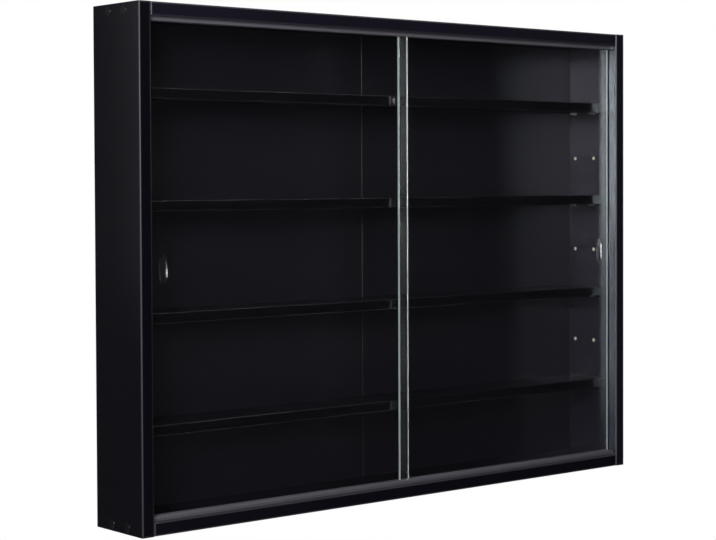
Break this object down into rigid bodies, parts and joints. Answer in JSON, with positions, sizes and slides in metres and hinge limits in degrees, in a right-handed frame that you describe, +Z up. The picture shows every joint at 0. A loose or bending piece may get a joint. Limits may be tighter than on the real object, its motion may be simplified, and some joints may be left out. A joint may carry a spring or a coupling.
{
  "type": "wall display cabinet",
  "caption": "Shallow black wall display cabinet with shelves behind two overlapping glass doors that slide sideways in grooved tracks.",
  "frame": {"origin": "on the wall plane, midway between the entry holes of the two keyhole hanging plates", "axes": "+X across the front to the viewer's right, +Y through the back into the wall, +Z up"},
  "size_m": [0.8018, 0.095, 0.6],
  "materials": {
    "carcass_film": "chipboard wrapped in satin black film",
    "back_film": "thin fibreboard with a black face",
    "shelf_film": "chipboard with satin black film",
    "edge_band": "glossy black edging",
    "strip_plastic": "black extruded strip",
    "track_plastic": "satin dark grey extrusion",
    "door_glass": "clear float glass with seamed edges",
    "support_steel": "nickel-plated",
    "screw_steel": "zinc-plated",
    "plate_steel": "zinc-plated sheet",
    "cap_plastic": "moulded black caps",
    "dowel_beech": "bare beech"
  },
  "bodies": {
    "cabinet": {"left_side_panel": "carcass_film", "right_side_panel": "carcass_film", "top_panel": "carcass_film", "bottom_panel": "carcass_film", "left_back_panel": "back_film", "right_back_panel": "back_film", "back_joining_strip": "strip_plastic", "top_door_track": "track_plastic", "bottom_door_track": "track_plastic", "top_track_screws": "screw_steel", "bottom_track_screws": "screw_steel", "left_connector_screws": "screw_steel", "right_connector_screws": "screw_steel", "left_cover_caps": "cap_plastic", "right_cover_caps": "cap_plastic", "alignment_dowels": "dowel_beech", "left_hanging_plate": "plate_steel", "right_hanging_plate": "plate_steel", "hanging_plate_screws": "screw_steel", "shelf_1": "shelf_film", "shelf_1_edge_band": "edge_band", "shelf_1_supports": "support_steel", "shelf_2": "shelf_film", "shelf_2_edge_band": "edge_band", "shelf_2_supports": "support_steel", "shelf_3": "shelf_film", "shelf_3_edge_band": "edge_band", "shelf_3_supports": "support_steel", "shelf_4": "shelf_film", "shelf_4_edge_band": "edge_band", "shelf_4_supports": "support_steel"},
    "left_door": {"left_glass_door": "door_glass"},
    "right_door": {"right_glass_door": "door_glass"}
  },
  "joints": [
    {"name": "left_door_slide", "type": "slide", "parent": "cabinet", "child": "left_door", "axis": [1, 0, 0], "range_m": [0, 0.3775]},
    {"name": "right_door_slide", "type": "slide", "parent": "cabinet", "child": "right_door", "axis": [-1, 0, 0], "range_m": [0, 0.3775]}
  ]
}
